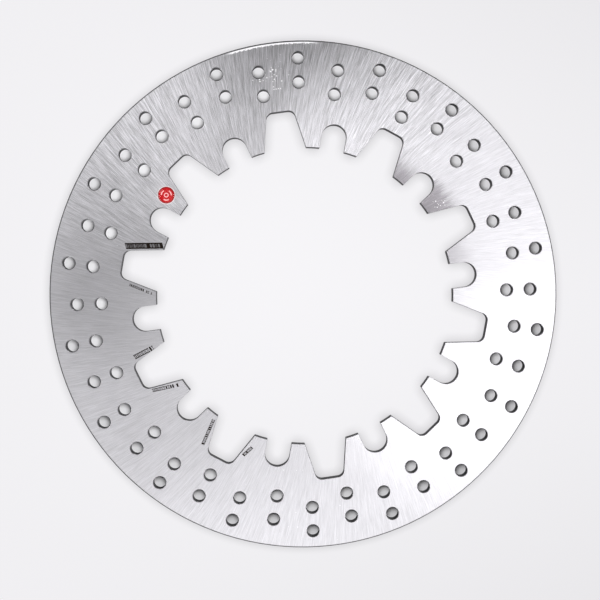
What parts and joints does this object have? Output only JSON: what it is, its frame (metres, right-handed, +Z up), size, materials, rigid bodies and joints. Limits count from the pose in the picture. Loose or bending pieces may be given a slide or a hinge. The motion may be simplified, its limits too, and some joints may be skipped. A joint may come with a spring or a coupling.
{
  "type": "floating brake rotor ring",
  "caption": "Flat, cross-drilled brake rotor ring with a castellated inner edge, slotted to float on drive bobbins, and a small domed badge.",
  "frame": {"origin": "centre of the ring at its lower face", "axes": "+Z up through the ring, towards the badged face; +X through the middle of the first bobbin slot"},
  "size_m": [0.285, 0.285, 0.0059],
  "materials": {
    "ground_steel": "radially ground, laser-cut edges",
    "badge_print": "printed red label",
    "badge_resin": "clear glossy resin"
  },
  "bodies": {
    "root": {"rotor_ring": "ground_steel", "badge_label": "badge_print", "badge_dome": "badge_resin"}
  },
  "joints": []
}
